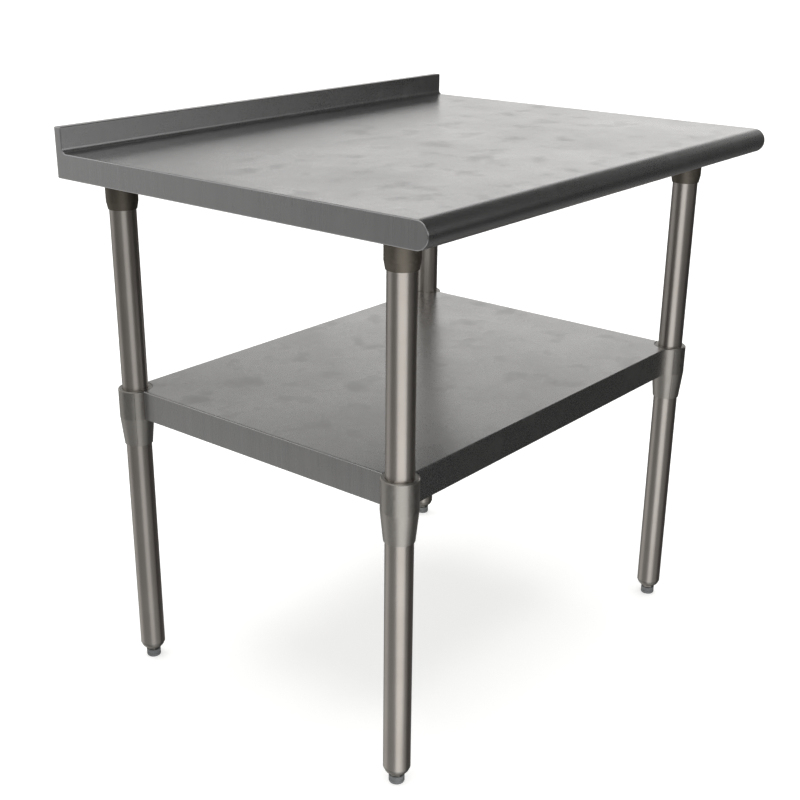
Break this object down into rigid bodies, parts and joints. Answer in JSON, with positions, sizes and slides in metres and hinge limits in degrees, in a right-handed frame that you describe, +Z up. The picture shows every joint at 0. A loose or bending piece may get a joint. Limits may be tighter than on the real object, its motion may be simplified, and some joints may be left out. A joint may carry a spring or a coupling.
{
  "type": "stainless work table",
  "caption": "Stainless kitchen work table with a low rear upturn, rounded front edge, tube legs on levelling feet and a height-adjustable undershelf.",
  "frame": {"origin": "on the floor, under the middle of the table's outline", "axes": "+X along the table to its right end, +Y from the front to the upturn at the back, +Z up"},
  "size_m": [0.9144, 0.6999, 0.9144],
  "materials": {
    "brushed_stainless_top": "satin, number 4 grain along the table",
    "brushed_stainless_shelf": "satin, number 4 grain along the shelf",
    "leg_tube": "satin tube, grain along its length",
    "socket_steel": "satin, slightly darker than the legs",
    "galvanised_channel": "galvanised, spangled",
    "plated_fasteners": "zinc plated",
    "set_screws": "black oxide",
    "foot_insert": "zinc plated, turned",
    "bullet_foot": "turned, satin",
    "glide_plastic": "moulded grey nylon",
    "cast_clamp": "die cast, lightly blasted"
  },
  "bodies": {
    "table": {"worktop": "brushed_stainless_top", "channel_left": "galvanised_channel", "channel_right": "galvanised_channel", "channel_centre": "galvanised_channel", "weld_studs": "plated_fasteners", "stud_washers": "plated_fasteners", "stud_nuts": "plated_fasteners", "socket_bolts": "plated_fasteners", "socket_nuts": "plated_fasteners", "socket_set_screws": "set_screws", "socket_plate_front_left": "socket_steel", "leg_socket_front_left": "socket_steel", "leg_front_left": "leg_tube", "foot_insert_front_left": "foot_insert", "socket_plate_front_right": "socket_steel", "leg_socket_front_right": "socket_steel", "leg_front_right": "leg_tube", "foot_insert_front_right": "foot_insert", "socket_plate_back_right": "socket_steel", "leg_socket_back_right": "socket_steel", "leg_back_right": "leg_tube", "foot_insert_back_right": "foot_insert", "socket_plate_back_left": "socket_steel", "leg_socket_back_left": "socket_steel", "leg_back_left": "leg_tube", "foot_insert_back_left": "foot_insert"},
    "shelf": {"undershelf": "brushed_stainless_shelf", "shelf_channel": "galvanised_channel", "clamp_set_screws": "set_screws", "shelf_clamp_front_left": "cast_clamp", "shelf_clamp_front_right": "cast_clamp", "shelf_clamp_back_right": "cast_clamp", "shelf_clamp_back_left": "cast_clamp"},
    "glide_front_left": {"foot_glide_front_left": "glide_plastic"},
    "foot_front_left": {"bullet_foot_front_left": "bullet_foot"},
    "glide_front_right": {"foot_glide_front_right": "glide_plastic"},
    "foot_front_right": {"bullet_foot_front_right": "bullet_foot"},
    "glide_back_right": {"foot_glide_back_right": "glide_plastic"},
    "foot_back_right": {"bullet_foot_back_right": "bullet_foot"},
    "glide_back_left": {"foot_glide_back_left": "glide_plastic"},
    "foot_back_left": {"bullet_foot_back_left": "bullet_foot"}
  },
  "joints": [
    {"name": "shelf_height", "type": "slide", "parent": "table", "child": "shelf", "axis": [0, 0, 1], "range_m": [-0.33, 0.25]},
    {"name": "foot_front_left_height", "type": "slide", "parent": "table", "child": "glide_front_left", "axis": [0, 0, -1], "range_m": [0, 0.0254]},
    {"name": "foot_front_left_turn", "type": "hinge", "parent": "glide_front_left", "child": "foot_front_left", "pos_m": [-0.3807, -0.2505, 0.02], "axis": [0, 0, -1], "range_deg": [0, 5760]},
    {"name": "foot_front_right_height", "type": "slide", "parent": "table", "child": "glide_front_right", "axis": [0, 0, -1], "range_m": [0, 0.0254]},
    {"name": "foot_front_right_turn", "type": "hinge", "parent": "glide_front_right", "child": "foot_front_right", "pos_m": [0.3807, -0.2505, 0.02], "axis": [0, 0, -1], "range_deg": [0, 5760]},
    {"name": "foot_back_right_height", "type": "slide", "parent": "table", "child": "glide_back_right", "axis": [0, 0, -1], "range_m": [0, 0.0254]},
    {"name": "foot_back_right_turn", "type": "hinge", "parent": "glide_back_right", "child": "foot_back_right", "pos_m": [0.3807, 0.299, 0.02], "axis": [0, 0, -1], "range_deg": [0, 5760]},
    {"name": "foot_back_left_height", "type": "slide", "parent": "table", "child": "glide_back_left", "axis": [0, 0, -1], "range_m": [0, 0.0254]},
    {"name": "foot_back_left_turn", "type": "hinge", "parent": "glide_back_left", "child": "foot_back_left", "pos_m": [-0.3807, 0.299, 0.02], "axis": [0, 0, -1], "range_deg": [0, 5760]}
  ],
  "couplings": [
    {"joint": "foot_front_left_turn", "follows": "foot_front_left_height", "rad_per_m": 3957.9},
    {"joint": "foot_front_right_turn", "follows": "foot_front_right_height", "rad_per_m": 3957.9},
    {"joint": "foot_back_right_turn", "follows": "foot_back_right_height", "rad_per_m": 3957.9},
    {"joint": "foot_back_left_turn", "follows": "foot_back_left_height", "rad_per_m": 3957.9}
  ]
}
